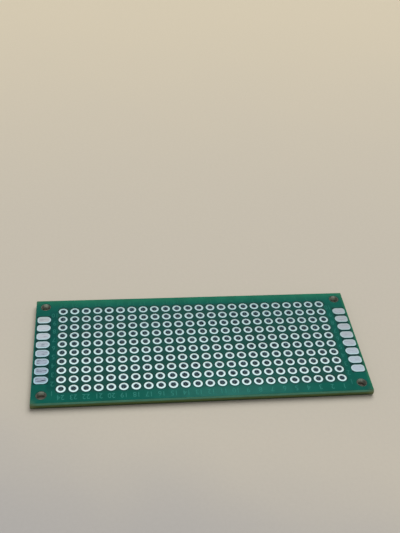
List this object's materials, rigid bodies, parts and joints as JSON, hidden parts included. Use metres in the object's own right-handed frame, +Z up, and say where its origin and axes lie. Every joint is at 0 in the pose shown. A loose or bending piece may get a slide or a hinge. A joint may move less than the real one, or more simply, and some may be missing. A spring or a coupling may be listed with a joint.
{
  "type": "prototype board",
  "caption": "Small double-sided prototype board: drilled laminate with a grid of plated lead holes, edge pads at both ends and corner mounting holes.",
  "frame": {"origin": "middle of the plane that the lower pads rest on", "axes": "+X along the board's length, +Y across its width, +Z up out of the upper face"},
  "size_m": [0.0706, 0.0304, 0.0016],
  "materials": {
    "glass_epoxy": "matte",
    "solder_mask": "gloss",
    "hole_solder": "satin",
    "edge_pad_solder": "satin",
    "legend_ink": "matte"
  },
  "bodies": {
    "root": {"laminate": "glass_epoxy", "solder_mask_top": "solder_mask", "solder_mask_bottom": "solder_mask", "edge_pads_left_top": "edge_pad_solder", "edge_pads_left_bottom": "edge_pad_solder", "edge_pads_right_top": "edge_pad_solder", "edge_pads_right_bottom": "edge_pad_solder", "hole_plating_01": "hole_solder", "hole_plating_02": "hole_solder", "hole_plating_03": "hole_solder", "hole_plating_04": "hole_solder", "hole_plating_05": "hole_solder", "hole_plating_06": "hole_solder", "hole_plating_07": "hole_solder", "hole_plating_08": "hole_solder", "hole_plating_09": "hole_solder", "hole_plating_10": "hole_solder", "hole_plating_11": "hole_solder", "hole_plating_12": "hole_solder", "hole_plating_13": "hole_solder", "hole_plating_14": "hole_solder", "hole_plating_15": "hole_solder", "hole_plating_16": "hole_solder", "hole_plating_17": "hole_solder", "hole_plating_18": "hole_solder", "hole_plating_19": "hole_solder", "hole_plating_20": "hole_solder", "hole_plating_21": "hole_solder", "hole_plating_22": "hole_solder", "hole_plating_23": "hole_solder", "hole_plating_24": "hole_solder"}
  },
  "joints": []
}
